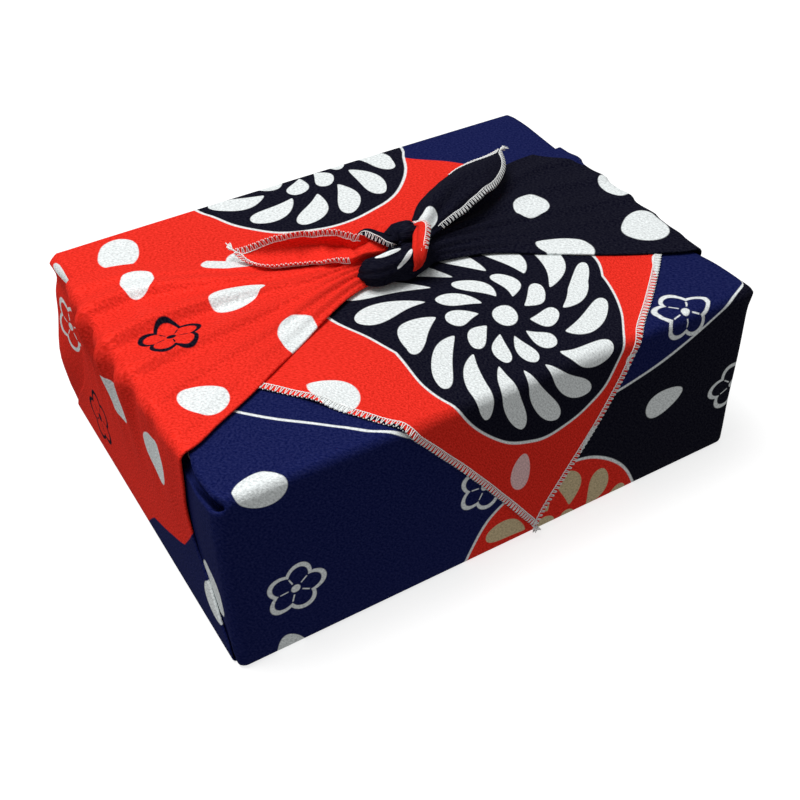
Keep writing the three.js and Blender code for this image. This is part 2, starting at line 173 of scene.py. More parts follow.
RED_STRAND = [
    gathered(-32, 3, 100, hem=(0, -1, 0), wide=4.5, high=3, curl=5.9),
    gathered(-18, 2, 101, hem=(0, -1, -0.2), wide=5, high=5, curl=5.9),
    gathered(-6, -2, 101.5, hem=(0, -0.7, -0.7), wide=5.5, high=5.5, curl=5.6),
    gathered(3, -7, 101.5, hem=(0.1, -0.2, -0.95), wide=5, high=5, curl=5, crease=0.6),
    gathered(4.8, -12.5, 104.3, hem=(0.8, -0.1, -0.5), wide=1.6, high=2.6, curl=4.4, crease=0.8),
    gathered(7.6, -12.3, 109.6, hem=(0.85, -0.35, -0.35), wide=3.4, high=4, curl=3.2, turn=0.9,
             crease=1.2),
    gathered(13.4, -7.7, 114, hem=(0.9, -0.3, -0.25), wide=5.2, high=4.5, curl=3, turn=1.3,
             crease=1.5),
    gathered(16.6, -1.2, 114.4, hem=(0.9, 0.1, -0.4), wide=4.6, high=4.5, curl=3, turn=1.3,
             crease=1.5),
    gathered(14.6, 5.5, 112.2, hem=(0.8, 0.45, -0.4), wide=3, high=3.3, curl=3.2, turn=1.3,
             crease=1.2),
    gathered(11.5, 11, 111, hem=(0.3, 0.9, -0.1), wide=3.6, high=2.8, curl=3.4, crease=0.8),
    gathered(5.5, 14.5, 110, hem=(-0.1, 1, 0), wide=4.4, high=3, curl=3.4, crease=0.8),
    gathered(-5, 9, 108.6, hem=(0, 1, 0.15), wide=6.4, high=-3, curl=3.8, crease=2.4),
    gathered(-16, 9, 110.8, hem=(0.1, 1, 0.2), wide=7.6, high=-6.5, curl=3.6, crease=3.5),
    gathered(-26, 16.5, 110.5, hem=(0.2, 0.85, 0.4), wide=8.2, high=-8, curl=3.3, crease=3.2),
    gathered(-40, 24.5, 109.4, hem=(0.25, 0.8, 0.45), wide=8.2, high=-8.5, curl=3.1, crease=2),
    gathered(-52, 31.5, 107.6, hem=(0.3, 0.85, 0.42), wide=7.2, high=-6.5, curl=2.9, crease=0.6),
    gathered(-59, 38.5, 105.6, hem=(0.5, 0.8, 0.4), wide=4.4, high=-3.4, curl=2.7),
    gathered(-63.6, 45.5, 104.5, hem=(0.6, 0.7, 0.3), wide=0.4, high=-0.1, curl=2.4),
]


# ---------- helpers ----------
def mix(a, b, t):
    return a + (b - a) * t


def smooth(x, low, high):
    """0 below low, 1 above high, and level at both ends."""
    t = np.clip((x - low) / (high - low), 0, 1)
    return t * t * (3 - 2 * t)


def hump(x, wide):
    """1 at nought, falling away like a bell of this half-width."""
    return np.exp(-((x / wide) ** 2))


def flow(rows, name, at):
    """A table's column read at any place along, on a smooth curve through its rows: a cubic
    on each stretch, with the slope at a row taken from its two neighbours."""
    x = np.array([row["along"] for row in rows], float)
    y = np.array([row[name] for row in rows], float)
    slope = np.gradient(y, x)
    at = np.clip(at, x[0], x[-1])
    i = np.clip(np.searchsorted(x, at, side="right") - 1, 0, len(x) - 2)
    step = x[i + 1] - x[i]
    t = (at - x[i]) / step
    start = (1 + 2 * t) * (1 - t) ** 2 * y[i] + t * (1 - t) ** 2 * step * slope[i]
    return start + t**2 * (3 - 2 * t) * y[i + 1] - t**2 * (1 - t) * step * slope[i + 1]


def stops(*runs):
    """Even stops from one break point to the next: (from, to, parts), ..."""
    pieces = [np.linspace(a, b, n, endpoint=False) for a, b, n in runs]
    return np.concatenate(pieces + [[runs[-1][1]]])


def ripple(a, b, seed, size):
    """Slow unevenness, mostly between -1 and 1: a sum of plane waves of about one length,
    with seeded directions and starts."""
    rng = np.random.default_rng(seed)
    total = 0
    for _ in range(7):
        way, start = rng.uniform(0, 2 * np.pi, 2)
        number = 2 * np.pi / (size * rng.uniform(0.7, 1.6))
        total = total + np.sin((a * np.cos(way) + b * np.sin(way)) * number + start)
    return total / 3


def ring(p, inset):
    """A point of the rounded rectangle that the walls stand on. p is the length round it
    from the middle of the near side, plus to the right, and inset moves it inwards."""
    q = np.abs(p)
    turn = np.clip((q - RUN_X) / ROUND, 0, QUARTER)
    radius = ROUND - inset
    x = np.sign(p) * (np.minimum(q, RUN_X) + radius * np.sin(turn))
    y = -RUN_Y - radius * np.cos(turn) + np.maximum(q - FAR_P, 0)
    return x, y


def climb(s, top, deep=0.0):
    """Up a wall and over its top edge, by the length s along the cloth: how far in from
    the wall, how high, and how far along the top. It starts on the underside, where the
    bottom edge begins, and deep is how far under the outer layer the cloth lies."""
    lower = np.clip((s - FOOT) / LOW, 0, QUARTER)
    upper = np.clip((s - top + EDGE) / EDGE, 0, QUARTER)
    level = np.maximum(s - top + EDGE - OVER, 0)
    inward = LOW - (LOW - deep) * np.sin(lower) + (EDGE - deep) * (1 - np.cos(upper)) + level
    z = np.clip(s, LOW, top - EDGE) - (LOW - deep) * np.cos(lower) + (EDGE - deep) * np.sin(upper)
    return inward, z + BASE * (1 - np.sin(lower)), level


def settle(points):
    """The points with the parcel's slight skew: each corner's shift, shared out evenly, and
    the loose corner's, like a bell round it."""
    across = np.clip(points[..., 0] / (2 * HALF_X) + 0.5, -0.1, 1.1)
    back = np.clip(points[..., 1] / (2 * HALF_Y) + 0.5, -0.1, 1.1)
    up = np.clip(points[..., 2] / TAIL_TOP, 0, 1)
    shift = 0
    for corner, part in (("near_left", (1 - across) * (1 - back)),
                         ("near_right", across * (1 - back)),
                         ("far_left", (1 - across) * back), ("far_right", across * back)):
        low, top = np.array(SKEW["low"][corner]), np.array(SKEW["top"][corner])
        shift = shift + part[..., None] * mix(low, top, up[..., None])
    moved = points.copy()
    moved[..., :2] += shift
    loose = hump(np.linalg.norm(points - (-HALF_X, HALF_Y, FAR_TOP), axis=-1), LOOSE_LENGTH)
    moved += loose[..., None] * np.array(LOOSE_WAY)
    return moved


class Patchwork:
    """Gathers grids of points into one mesh, with the place of each on the flat square."""

    def __init__(self):
        self.points, self.flats, self.faces = [], [], []
        self.count = 0

    def add(self, place, flat, keep=None, flip=False):
        """place is rows by columns by 3 and flat rows by columns by 2; keep marks the
        cells to make, and flip turns them over."""
        rows, cols = place.shape[:2]
        index = np.arange(rows * cols).reshape(rows, cols) + self.count
        quads = np.stack([index[:-1, :-1], index[:-1, 1:], index[1:, 1:], index[1:, :-1]], -1)
        if keep is not None:
            quads = quads[keep]
        quads = quads.reshape(-1, 4)
        self.faces.append(quads[:, ::-1] if flip else quads)
        self.points.append(place.reshape(-1, 3))
        self.flats.append(flat.reshape(-1, 2))
        self.count += rows * cols

    def mesh(self, name, weld=0.01):
        """One mesh, with points that lie together made one and cells that shut left out."""
        points = np.concatenate(self.points)
        flats = np.concatenate(self.flats)
        quads = np.concatenate(self.faces)
        _, first, same = np.unique(np.round(points / weld), axis=0, return_index=True,
                                   return_inverse=True)
        welded = same.reshape(-1)[quads]
        twin = welded == np.roll(welded, -1, axis=1)
        sides = 4 - twin.sum(1)
        faces, corners = [], []
        for face, old, gone in zip(welded[sides > 2], quads[sides > 2], twin[sides > 2]):
            faces.append(face[~gone])
            corners.append(old[~gone])
        used, number = np.unique(np.concatenate(faces), return_inverse=True)
        number = number.tolist()
        lists, at = [], 0
        for face in faces:
            lists.append(number[at:at + len(face)])
            at += len(face)
        mesh = bpy.data.meshes.new(name)
        mesh.from_pydata((settle(points[first[used]]) * MM).tolist(), [], lists)
        layer = mesh.uv_layers.new(name="flat_cloth")
        where = flats[np.concatenate(corners)]
        diagonal = np.stack([where[:, 0] + where[:, 1], where[:, 1] - where[:, 0]], 1)
        layer.data.foreach_set("uv", (diagonal / 2**0.5 / CUT + 0.5).ravel())
        mesh.shade_smooth()
        mesh.update()
        return mesh


# ---------- the cloth, part by part ----------
def fold_line(side, end, s):
    """Where the side panel's front or back fold lies at a height, along the ring."""
    rows = LEFT_PANEL if side < 0 else RIGHT_PANEL
    y = flow(rows, end, np.minimum(s, TAIL_TOP)) * (1 if end == "front" else -1)
    return FAR_P + RUN_Y + y


def ear_deep(p, s, end):
    """How deep a folded corner lies: it goes in under the side panel's fold, close to it
    at the foot and from further off above."""
    line = np.where(p < 0, fold_line(-1, end, s), fold_line(1, end, s))
    slope = mix(5, 20, smooth(s, LOW, 34))
    return 2.1 * LAYER * smooth(np.abs(p), line - slope, line - 1)


def wall(p, s, top, rows, end, shape):
    """A long wall with its folded corners, and past the top edge its flap, spread to its
    own outline. Cloth between a corner and the flap runs from one's edge to the other's,
    drawn in as a tuck or rounded out. shape gives what is particular to the wall: how far
    it swells inwards, its point and tuck, and how far the folded corners droop."""
    start = top - EDGE
    way = np.where(p < 0, -1.0, 1.0)
    past = np.maximum(np.abs(p) - RUN_X, 0)
    above = np.maximum(s - start, 0)
    away = past + above
    part = np.where(away > 0, past / np.maximum(away, 1e-9), 0)

    def middle(q, t):
        inward, z, level = climb(t, top, shape.swell(q, t))
        edge = np.where(q < 0, -flow(rows, "left", level), flow(rows, "right", level))
        spread = mix(1, edge / RUN_X, smooth(inward, 0.3, EDGE + 4))
        return np.stack([q * spread, inward - HALF_Y, z], -1)

    def corner(q, t):
        deep = ear_deep(q, t, end) + shape.swell(q, t) - shape.point(q, t)
        inward, z, _ = climb(t, top, deep)
        x, y = ring(q, inward)
        return np.stack([x, y, z - shape.droop(q, t)], -1)

    flap = middle(np.where(past > 0, way * RUN_X, p), np.where(past > 0, start + away, s))
    side = corner(np.where(above > 0, way * (RUN_X + away), p), np.minimum(s, start))
    sag = shape.tuck(p, away) * 4 * part * (1 - part)
    outward = np.stack([way * 0.5, 0 * way, 0 * way + 0.87], -1)   # 60 degrees up
    place = mix(flap, side, part[..., None]) - sag[..., None] * outward
    place = np.where((past > 0)[..., None], place, flap)
    return place, away, past


def corner_bulge(past, s):
    """How far the far left corner stands out, at a length past it and a height: a belly in
    the lower half, and a pinch under the top edge."""
    belly = 4.2 * hump(s - 38, 22) * smooth(s, LOW, 14)
    pinch = 2.2 * hump(s - 86, 7)
    return hump(past + 3, 18) * (belly - pinch)


class NearWall:
    """What is particular to the near wall: pockets at its top corners, a small point of
    cloth at the right one, and slack along the top of the folded corners."""

    @staticmethod
    def swell(p, s):
        hollow = 0.5 * ripple(p, s, 3, 95) * smooth(s, 8, 30) * smooth(-s, -92, -70)
        return -0.35 * np.cos(p / RUN_X * QUARTER) * smooth(s, 10, 45) + hollow

    @staticmethod
    def point(p, s):
        return 1.8 * hump(p - FAR_P + 2, 2.4) * smooth(s, 82, 92) ** 2

    @staticmethod
    def droop(p, s):
        past = smooth(np.abs(p), FAR_P - 2, FAR_P + 26)
        peak = 0.8 * hump(p - FAR_P + 2, 2.8) * smooth(s, 82, 91)
        return smooth(s, 60, 91) * past * np.where(p < 0, 5.5, 1.5) - peak

    @staticmethod
    def tuck(p, away):
        fade = mix(1, 0.2, smooth(away, 13, 34))
        return np.where(p < 0, 12.0, -1.2) * smooth(away, 0, 10) * fade


class FarWall:
    """What is particular to the far wall: soft corners, rounded out, and the lower left
    one bulging a little."""

    @staticmethod
    def swell(p, s):
        low = corner_bulge(np.abs(p) - FAR_P, s) * np.where(p < 0, 1.0, 0.3)
        slack = 0.5 * ripple(p, s, 8, 95) * smooth(s, 8, 30) * smooth(-s, -92, -70)
        return slack - low - 0.3 * np.cos(p / RUN_X * QUARTER) * smooth(s, 10, 45)

    @staticmethod
    def point(p, s):
        return 0 * p

    @staticmethod
    def droop(p, s):
        return smooth(s, 60, 91) * 2.5 * smooth(np.abs(p), FAR_P, FAR_P + 30)

    @staticmethod
    def tuck(p, away):
        return np.where(p < 0, -1.8, -1.2) * smooth(away, 0, 26)


def crowded(count, share):
    """Places from 0 to 1, closer together towards both ends: a share of a half wave, and
    the rest even."""
    even = stops((0.0, 1.0, count))
    return share * (0.5 - 0.5 * np.cos(even * np.pi)) + (1 - share) * even


def wall_columns():
    """Places along the ring: a long wall, and round each corner to where its ear ends."""
    far = FAR_P + REACH
    corner = stops((RUN_X, FAR_P, 8), (FAR_P, FAR_P + 30, 13), (FAR_P + 30, far, 7))[1:]
    return np.concatenate([-corner[::-1], (crowded(70, 0.3) * 2 - 1) * RUN_X, corner])


def hem_reach(v):
    """Half the width of the flat square at a distance from its middle, in a flap's middle
    part: the box's half-length until the hems come in from the sides."""
    return np.minimum(HALF_X, TIP - v)


def flap_flat(p, s, level):
    """Where a point of a wall or flap lies on the flat square."""
    v = HALF_Y - LOW + s - FOOT
    spread = mix(1, hem_reach(v) / RUN_X, smooth(level, 0, 12))
    x, _ = ring(p, LOW)
    inner = mix(x, p, smooth(s, FOOT, 30))
    return np.stack([np.where(np.abs(p) > RUN_X, inner, p * spread), v], -1)


def cells(s, top, away, past):
    """Which cells of a wall's grid to make: all of the wall and of the flap, and past the
    top edge no more of a folded corner than reaches in under a side panel."""
    away, past = ((part[1:, 1:] + part[:-1, :-1]) / 2 for part in (away, past))
    return (past == 0) | (away < GUSSET) | (s[:-1, :-1] < top - EDGE)


def near_part(cloth):
    """The near wall, its folded corners and its flap, whose tip is tucked back under."""
    begin = NEAR_TOP - EDGE + OVER
    s = stops((FOOT, LOW, 4), (LOW, 60, 9), (60, NEAR_TOP - EDGE, 12),
              (NEAR_TOP - EDGE, begin, 6), (begin, begin + 50, 14), (begin + 50, begin + 190, 8))
    p, s = np.meshgrid(wall_columns(), s)
    place, away, past = wall(p, s, NEAR_TOP, NEAR_FLAP, "front", NearWall)
    level = climb(s, NEAR_TOP)[2]
    flat = flap_flat(p, s, level) * [1, -1]
    cloth.add(place, flat, cells(s, NEAR_TOP, away, past))
    middle = np.abs(p[0]) <= RUN_X
    brink, brink_flat = place[-1:, middle], flat[-1:, middle]
    turn = stops((0, np.pi, 3))[:, None]
    bend = LAYER / 2
    back = brink + np.stack([0 * turn, bend * np.sin(turn), -bend * (1 - np.cos(turn))], -1)
    share = stops((0.02, 1, 8))[:, None]
    run = share * (TIP + flat[-1, 0, 1])
    under = brink + np.stack([0 * run, -run, 0 * run - LAYER], -1)
    under[..., 0] *= 1 - share
    under_flat = brink_flat * np.stack([1 - share, 1 + 0 * run], -1) - np.stack([0 * run, run], -1)
    cloth.add(np.concatenate([back, under]),
              np.concatenate([brink_flat + 0 * back[..., :2], under_flat]))


def far_part(cloth):
    """The far wall, its folded corners and its flap, which crosses the top, turns down
    over the near flap's edge and hangs in front to its tip. Returns the hanging flap's
    grid, for its hems."""
    begin = FAR_TOP - EDGE + OVER
    across = 2 * (HALF_Y - EDGE)
    radius = EDGE + FAR_TOP - NEAR_TOP
    brink = begin + across
    turned = brink + radius * QUARTER
    tip = TIP - (HALF_Y - LOW) + FOOT - SLACK
    s = stops((FOOT, LOW, 4), (LOW, 60, 9), (60, FAR_TOP - EDGE, 12),
              (FAR_TOP - EDGE, begin, 6), (begin, begin + 60, 14), (begin + 60, brink, 46),
              (brink, turned, 6), (turned, tip, 32))
    p, s = np.meshgrid(wall_columns(), s)
    place, away, past = wall(p, s, FAR_TOP, FAR_FLAP, "back", FarWall)
    level = climb(s, FAR_TOP)[2]
    left, right = flow(FAR_FLAP, "left", level), flow(FAR_FLAP, "right", level)
    share = (p / RUN_X + 1) / 2
    x = mix(left, right, share)
    over = np.clip((level - across) / radius, 0, QUARTER)
    drop = np.maximum(level - across - radius * QUARTER, 0)
    y = HALF_Y - EDGE - np.minimum(level, across) - radius * np.sin(over)
    z = FAR_TOP - radius * (1 - np.cos(over)) - drop
    lift = flap_lift(share, level, right - left)
    y = y - lift * np.sin(over)
    z = z + lift * np.cos(over)
    blend = smooth(level, 0, 60)[..., None] * (past == 0)[..., None]
    place = mix(place, np.stack([x, -y, z], -1), blend)
    flat = flap_flat(p, s, level)
    place = place * [1, -1, 1]
    cloth.add(place, flat, cells(s, FAR_TOP, away, past), flip=True)
    columns = np.abs(p[0]) <= RUN_X + 1e-6
    rows = level[:, 0] > HEM_FROM
    return place[rows][:, columns]


def flap_lift(share, level, width):
    """How far the far flap stands off what it lies on: a bell with slow waves along each of
    its two hems, and hardly at all in the middle."""
    left, right = share * width, (1 - share) * width
    wave = 0.55 + 0.35 * np.sin(level / 6.2) + 0.3 * np.sin(level / 2.9 + 1)
    wave_right = 0.5 + 0.3 * np.sin(level / 7.1 + 2)
    free = smooth(level, 120, 150)
    lifted = 1.3 * wave * hump(left, 9) + 0.9 * wave_right * hump(right, 7)
    return free * lifted + 0.21 * ripple(share * width, level, 21, 70) * smooth(level, 40, 90)


def gathers(share, s, folds):
    """Height of a tail's folds above its bed, and the cloth hidden in them: each fold is a
    bell, steep on its front side and easy on its back, that goes from a soft crease at the
    box's edge to a fold at the knot. The tail arches up as it narrows to the knot."""
    near_knot = smooth(s, 96, 225)
    high, hidden = 0, 0
    for number, fold in enumerate(folds):
        middle = mix(fold["edge"], fold["knot"], near_knot)
        middle = middle + 0.014 * np.sin(s / 19 + number * 1.9)
        off = share - middle
        wide = fold["wide"] * mix(1, 1.6, near_knot)
        bell = np.where(off < 0, hump(off, wide * 0.6), hump(off, wide * 1.6))
        high = high + bell * mix(fold["far"], 0.6 * fold["high"], near_knot**2)
        hidden = hidden + fold["hidden"] * near_knot * (smooth(off, -0.02, 0.02) - 0.5)
    high = high + 0.45 * ripple(share * 70, s * 0.22, 41, 11) * smooth(s, 100, 200)
    arch = 1 - (2 * share - 1) ** 2
    rise = 2.4 * smooth(s, 165, 226) * arch**0.6 + 1.6 * smooth(s, 120, 226) * arch
    return high * smooth(s, 62, 104) + rise + 1.0 * smooth(s, 170, 226), hidden


def across_panel():
    """Places across a side panel, from its front fold to its back one."""
    return crowded(66, 0.35)


def side_part(cloth, side, rows, folds):
    """A side panel and its tail: up the side wall, over the top edge and narrowing to the
    knot, with a lip turned under along each fold. It is made in strips across: front lip,
    its turn, the panel, the back turn and lip. The folds on top die out in the lips."""
    last = rows[-1]["along"]
    begin = TAIL_TOP - EDGE + OVER
    s = stops((FOOT, LOW, 4), (LOW, 60, 12), (60, TAIL_TOP - EDGE, 14),
              (TAIL_TOP - EDGE, begin, 6), (begin, last, 46))
    bend = LAYER / 2
    kinds = [("front", stops((1, 0, 6))), ("front_turn", stops((np.pi, 0, 5))[1:-1]),
             ("inside", across_panel()), ("back_turn", stops((0, np.pi, 5))[1:-1]),
             ("back", stops((0, 1, 6)))]
    front, back = flow(rows, "front", s)[:, None], flow(rows, "back", s)[:, None]
    grow = smooth(s, FOOT, 7)[:, None]
    lip = mix(LIP, KNOT_LIP, smooth(s, 96, 200))[:, None] * grow
    lip = np.minimum(lip, (back - front) * 0.47)
    across, deep, flat_y, lying = [], [], [], []
    for kind, values in kinds:
        values = values[None, :]
        sign = 1 if kind.startswith("front") else -1
        fold = front if kind.startswith("front") else back
        if kind == "inside":
            across.append(mix(front, back, values))
            deep.append(0 * across[-1])
            flat_y.append(across[-1])
            lying.append(1 + 0 * across[-1])
        elif kind.endswith("turn"):
            across.append(fold - sign * bend * np.sin(values) * grow)
            deep.append(bend * (1 - np.cos(values)) * grow)
            flat_y.append(fold - sign * bend * values * grow)
            lying.append(1 + 0 * across[-1])
        else:
            across.append(fold + sign * values * lip)
            deep.append(2 * bend * grow + 0 * across[-1])
            flat_y.append(fold - sign * values * lip)
            lying.append(1 - smooth(values * lip, 0, 6))
    across, deep, flat_y, lying = (
        np.concatenate(block, 1) for block in (across, deep, flat_y, lying))
    s = s[:, None] + 0 * across
    share = np.clip((across - front) / (back - front), 0, 1)
    high, hidden = gathers(share, s, folds)
    high = high * lying
    slack = 0.4 * ripple(across, s, 5 + side, 60) * smooth(s, 10, 40)
    pulls = side_pulls(across, s, side)
    out = (slack + pulls) * smooth(-s, -begin, -TAIL_TOP + EDGE + 2) * smooth(s, 5, 30)
    inward, z, level = climb(s, TAIL_TOP, deep - out - high * (s < begin))
    z = z + np.where(s < begin, 0, high)
    z = z + 0.25 * ripple(across, s, 11 + side, 45) * smooth(level, 5, 40)
    x = side * (HALF_X - inward)
    place = np.stack([x, across, z], -1)
    flat = np.stack([side * (HALF_X - LOW + s - FOOT), flat_y + hidden], -1)
    cloth.add(place, flat, flip=side < 0)


def side_pulls(y, s, side):
    """Soft upright gathers on a side wall under the top edge, as distance out."""
    if side > 0:
        return (0.5 * ripple(y, 0 * y, 31, 26) - 0.4) * smooth(s, 50, 92)
    lines = [(-47, 6, 1.0), (-26, 5, 1.6), (-6, 6, 2.2), (12, 5, 2.8), (27, 4, 2.2), (42, 5, 2.6),
             (57, 4, 1.6)]
    pulls = sum(high * hump(y - at, wide) for at, wide, high in lines) * smooth(s, 30, 86)
    return pulls + corner_bulge(RUN_Y - y, s)


def underside(cloth):
    """The flat underside. Its outline is the foot of the walls, and the points within are
    shared out between the four sides of that outline."""
    p = wall_columns()
    near = p[np.abs(p) < RUN_X + BEND / 2 + 0.01]
    bend = p[(p > RUN_X + BEND / 2 - 0.01) & (p < FAR_P + 0.01)]
    x, y = ring(near, LOW)
    bottom = np.stack([x, y], -1)
    x, y = ring(bend, LOW)
    turn = np.stack([x, y], -1)
    between = across_panel() * 2 * RUN_Y - RUN_Y
    straight = np.stack([0 * between + HALF_X - LOW, between], -1)
    right = np.concatenate([turn[:-1], straight, (turn * [1, -1])[::-1][1:]])
    top, left = bottom * [1, -1], right * [-1, 1]
    u = np.linspace(0, 1, len(bottom))[None, :, None]
    v = np.linspace(0, 1, len(right))[:, None, None]
    place = (mix(bottom[None], top[None], v) + mix(left[:, None], right[:, None], u)
             - mix(mix(bottom[0], bottom[-1], u), mix(top[0], top[-1], u), v))
    cloth.add(np.concatenate([place, 0 * place[..., :1] + BASE], -1), place, flip=True)


def bow(rows, step=1.6):
    """A table of a strand's rows read along its own length, about a step apart: each column
    by name, with 'run', the length so far."""
    spot = np.array([[row["x"], row["y"], row["z"]] for row in rows], float)
    run = np.concatenate([[0], np.cumsum(np.linalg.norm(np.diff(spot, axis=0), axis=1))])
    marked = [dict(row, along=at) for row, at in zip(rows, run)]
    at = np.linspace(0, run[-1], int(run[-1] / step) + 1)
    return {"run": at, **{name: flow(marked, name, at) for name in rows[0]}}


def unit(vectors):
    return vectors / np.maximum(np.linalg.norm(vectors, axis=-1, keepdims=True), 1e-9)


def strand(cloth, rows, side, seed):
    """A gathered strand: an arc of cloth carried along a path, curling from an open leaf at
    the free end to a closed roll in the knot, with flutes that die out towards the tip.
    Returns its grid: first column one hem, last column the other."""
    at = bow(rows)
    centre = np.stack([at["x"], at["y"], at["z"]], -1)
    way = unit(np.gradient(centre, axis=0))
    across = np.stack([at["sx"], at["sy"], at["sz"]], -1)
    across = unit(across - (across * way).sum(-1, keepdims=True) * way)
    up = np.cross(across, way)
    u = np.linspace(0, 1, 39)[None, :]
    curl, wide, high = (at[name][:, None] for name in ("curl", "wide", "high"))
    angle = (u - 0.5) * curl
    base = np.cos(curl / 2)
    rise = high * ((np.cos(angle - at["turn"][:, None]) - base) / (1 - base) - 0.5)
    rise = rise + high * 0.5 * smooth(-curl, -5, -3.2)
    rise = rise + at["crease"][:, None] * (np.abs(np.sin(2 * np.pi * (u - 0.7))) ** 0.7 - 0.6)
    rise = rise + 0.3 * at["crease"][:, None] * ripple(u * 16, at["run"][:, None], seed, 8)
    out = wide * np.sin(angle - at["turn"][:, None]) / np.sin(np.minimum(curl / 2, QUARTER))
    left = (at["run"][-1] - at["run"])[:, None]
    held = smooth(left, 18, 75)
    rng = np.random.default_rng(seed)
    flute = 0
    for count in (3, 5, 8):
        start, drift = rng.uniform(0, 6.28), rng.uniform(-0.05, 0.05)
        rib = np.abs(np.cos(angle * count / 2 + start + drift * left))
        flute = flute + (rib - 0.64) / count**0.5
    within = smooth(0.5 - np.abs(u - 0.5), 0, 0.14)
    swell = 1 + flute * within * mix(0.02, 0.34, held)
    place = (centre[:, None] + across[:, None] * (out * swell)[..., None]
             + up[:, None] * (rise * swell)[..., None])
    corner = TIP - KNOT_REACH
    half = np.minimum(corner, left)
    flat_u = side * (TIP - left * corner / left[0]) + 0 * u
    flat_v = (u - 0.5) * 2 * half * mix(1, 0.45, held)
    cloth.add(place, np.stack([flat_u, flat_v * side], -1))
    return place


def shell():
    """The whole cloth, and the grids of its three parts that show a hem."""
    cloth = Patchwork()
    underside(cloth)
    near_part(cloth)
    hanging = far_part(cloth)
    side_part(cloth, -1, LEFT_PANEL, LEFT_FOLDS)
    side_part(cloth, 1, RIGHT_PANEL, RIGHT_FOLDS)
    navy = strand(cloth, NAVY_STRAND, 1, 4)
    red = strand(cloth, RED_STRAND, -1, 6)
    return cloth, hanging, navy, red


# ---------- overlock stitches ----------
PITCH = 2.3                             # length of a stitch
BITE = 3.1                              # from the hem's edge to the needle line
YARN = 0.24                             # radius of the thread


class Yarn:
    """Gathers runs of thread into one mesh: five-sided tubes along lines of points."""

    def __init__(self):
        self.points, self.faces, self.count = [], [], 0

    def lay(self, line, radius):
        line = np.asarray(line, float)
        way = unit(np.gradient(line, axis=0))
        side = unit(np.cross(way, [0.31, 0.52, 0.8]))
        up = np.cross(way, side)
        turn = np.arange(5) * 2 * np.pi / 5
        tube = line[:, None] + radius * (side[:, None] * np.cos(turn)[:, None]
                                         + up[:, None] * np.sin(turn)[:, None])
        n = len(line)
        index = self.count + np.arange(n * 5).reshape(n, 5)
        after = np.roll(index, -1, axis=1)
        quads = np.stack([index[:-1], after[:-1], after[1:], index[1:]], -1)
        self.faces.append(quads.reshape(-1, 4))
        self.points.append(tube.reshape(-1, 3))
        self.count += n * 5

    def mesh(self, name):
        mesh = bpy.data.meshes.new(name)
        mesh.from_pydata((settle(np.concatenate(self.points)) * MM).tolist(), [],
                         np.concatenate(self.faces).tolist())
        mesh.shade_smooth()
        return mesh


def overlock(yarn, grid, first=True, start=0, stop=None):
    """Stitches along one hem of a grid of cloth: a needle line, and a looper thread on each
    face that zigzags between it and the edge and turns over the edge in round loops."""
    grid = grid[start:stop]
    grid = grid if first else grid[:, ::-1]
    steps = np.linalg.norm(np.diff(grid, axis=1), axis=2)
    depth = np.concatenate([np.zeros((len(grid), 1)), np.cumsum(steps, axis=1)], 1)
    along = unit(np.gradient(grid[:, 0], axis=0))
    lean = (unit(grid[:, 2] - grid[:, 0]) * along).sum(-1)
    lean = np.clip(np.convolve(np.pad(lean, 3, mode="edge"), np.ones(7) / 7, "valid"), -0.85, 0.85)
    square = 1 / np.sqrt(1 - lean**2)
    marks = np.array([0, 0.25, 0.5, 0.75, 1.0]) * BITE
    bands = np.empty((len(grid), len(marks), 3))
    for i, (row, far) in enumerate(zip(grid, depth)):
        reach = marks * min(square[i], far[-1] * 0.45 / BITE)
        for k in range(3):
            bands[i, :, k] = np.interp(reach, far, row[:, k])
    run = np.concatenate([[0], np.cumsum(np.linalg.norm(np.diff(bands[:, 0], axis=0), axis=1))])
    stitches = max(2, int(run[-1] / PITCH))
    inward = unit(bands[:, 1] - bands[:, 0])
    face = unit(np.cross(np.gradient(bands[:, 0], axis=0), inward))
    face = face if first else -face

    def spot(at, deep, lift):
        """Points at lengths along the hem, depths in from it and heights off the face."""
        at = np.clip(at - deep * np.interp(at, run, lean * square), 0, run[-1])
        deep = np.clip(deep / BITE, 0, 1) * (len(marks) - 1)
        low = np.minimum(deep.astype(int), len(marks) - 2)
        share = deep - low
        found = np.empty((len(at), 3))
        for k in range(3):
            across = np.stack([np.interp(at, run, bands[:, j, k]) for j in range(len(marks))])
            here = np.arange(len(at))
            found[:, k] = mix(across[low, here], across[low + 1, here], share)
            found[:, k] += lift * np.interp(at, run, face[:, k])
        return found

    def over_edge(at, out):
        edge = spot(at, 0 * at, 0 * at)
        back = np.stack([np.interp(at, run, inward[:, k]) for k in range(3)], -1)
        return edge - back * out

    cycle = np.array([0.0, 0.22, 0.32, 0.36, 0.41, 0.5, 0.59, 0.64, 0.68, 0.78])
    deep = np.array([1.0, 0.97, 0.6, 0.2, 0.05, 0, 0.05, 0.2, 0.6, 0.97]) * BITE
    at = (np.arange(stitches)[:, None] + cycle).ravel() * PITCH
    deep = np.tile(deep, stitches)
    for face_side, shift in ((1, 0.0), (-1, 0.5)):
        moved = np.clip(at + shift * PITCH, 0, run[-1])
        line = spot(moved, deep, face_side * (GAUGE / 2 + YARN * 0.8) * np.ones(len(at)))
        turned = deep < 0.001
        line[turned] = over_edge(moved[turned], YARN * 1.3)
        yarn.lay(line, YARN)
        at_line = np.arange(0, run[-1], PITCH / 4)
        wave = np.abs(np.sin(at_line / PITCH * np.pi))
        lift = face_side * (GAUGE / 2 + YARN * (0.5 + 0.7 * wave))
        yarn.lay(spot(at_line, np.full(len(at_line), BITE), lift), YARN * 0.9)
    return bands[-1, 0]


